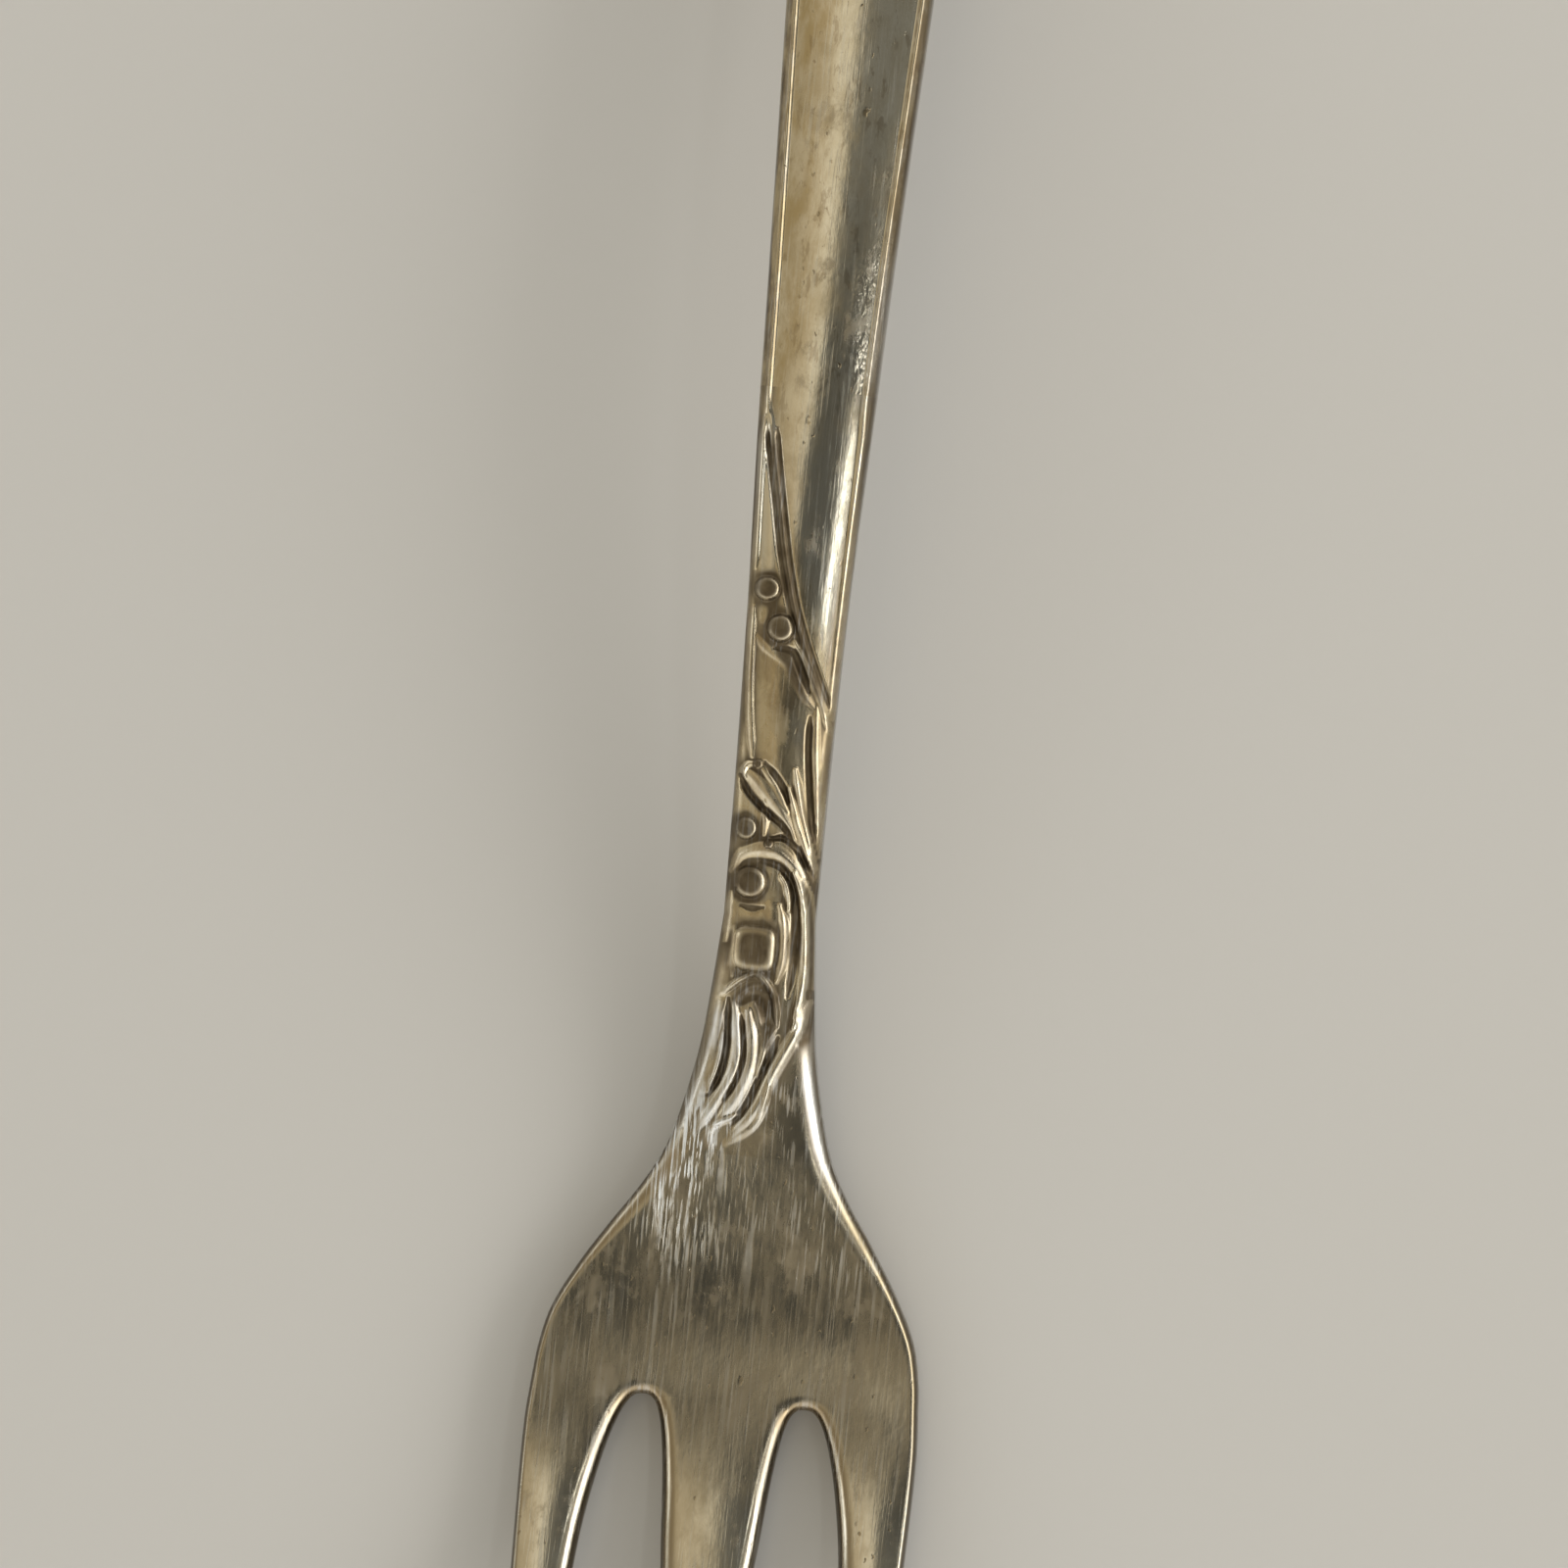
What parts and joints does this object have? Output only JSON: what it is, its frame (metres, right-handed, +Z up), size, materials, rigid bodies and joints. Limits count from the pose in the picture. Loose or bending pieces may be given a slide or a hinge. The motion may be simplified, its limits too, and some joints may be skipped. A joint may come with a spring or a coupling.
{
  "type": "oyster fork",
  "caption": "Slim silver-plated cocktail fork: flared head with long tapering tines, scroll-struck neck and plain rimmed handle arched above the table.",
  "frame": {"origin": "middle of the fork's bounding box, at the level of the table it rests on", "axes": "+Y from the tine tips to the end of the handle, +Z up with the ornamented face on top, +X to the right as the ornament is read with the handle away from the reader"},
  "size_m": [0.0178, 0.149, 0.0093],
  "materials": {
    "silver_plate": "worn, lightly tarnished silver plate over nickel silver, with fine lengthwise scratches",
    "silver_plate_ornament": "silver plate over nickel silver, struck with scrolls, dark tarnish in the hollows and bright worn crests"
  },
  "bodies": {
    "root": {"handle": "silver_plate", "neck": "silver_plate_ornament", "palm": "silver_plate", "tine_left": "silver_plate", "tine_centre": "silver_plate", "tine_right": "silver_plate"}
  },
  "joints": []
}
